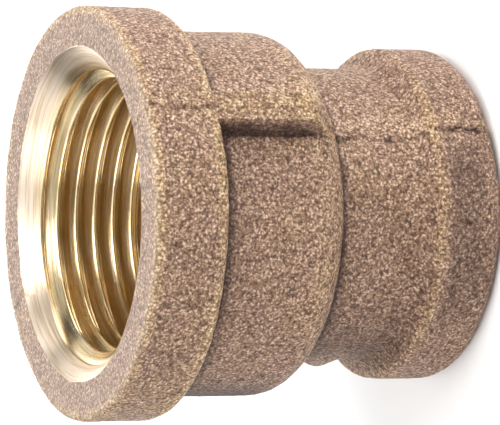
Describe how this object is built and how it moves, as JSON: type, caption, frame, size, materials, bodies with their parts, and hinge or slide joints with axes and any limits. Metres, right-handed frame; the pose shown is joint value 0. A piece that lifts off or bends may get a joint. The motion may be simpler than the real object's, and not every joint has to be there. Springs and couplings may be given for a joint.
{
  "type": "reducing coupling",
  "caption": "Cast bronze reducing coupling: a bell-shaped pipe fitting with a raised band at each end, side ribs, and internal taper pipe threads.",
  "frame": {"origin": "centre of the small end face, on which the coupling stands", "axes": "+Z along the bore axis, out of the large mouth; +X through one of the two cast ribs, which lie on the mould's parting plane"},
  "size_m": [0.0454, 0.045, 0.0429],
  "materials": {
    "cast_bronze": "rough as-cast outside, bright machined chamfers and threads inside"
  },
  "bodies": {
    "root": {"coupling_body": "cast_bronze"}
  },
  "joints": []
}
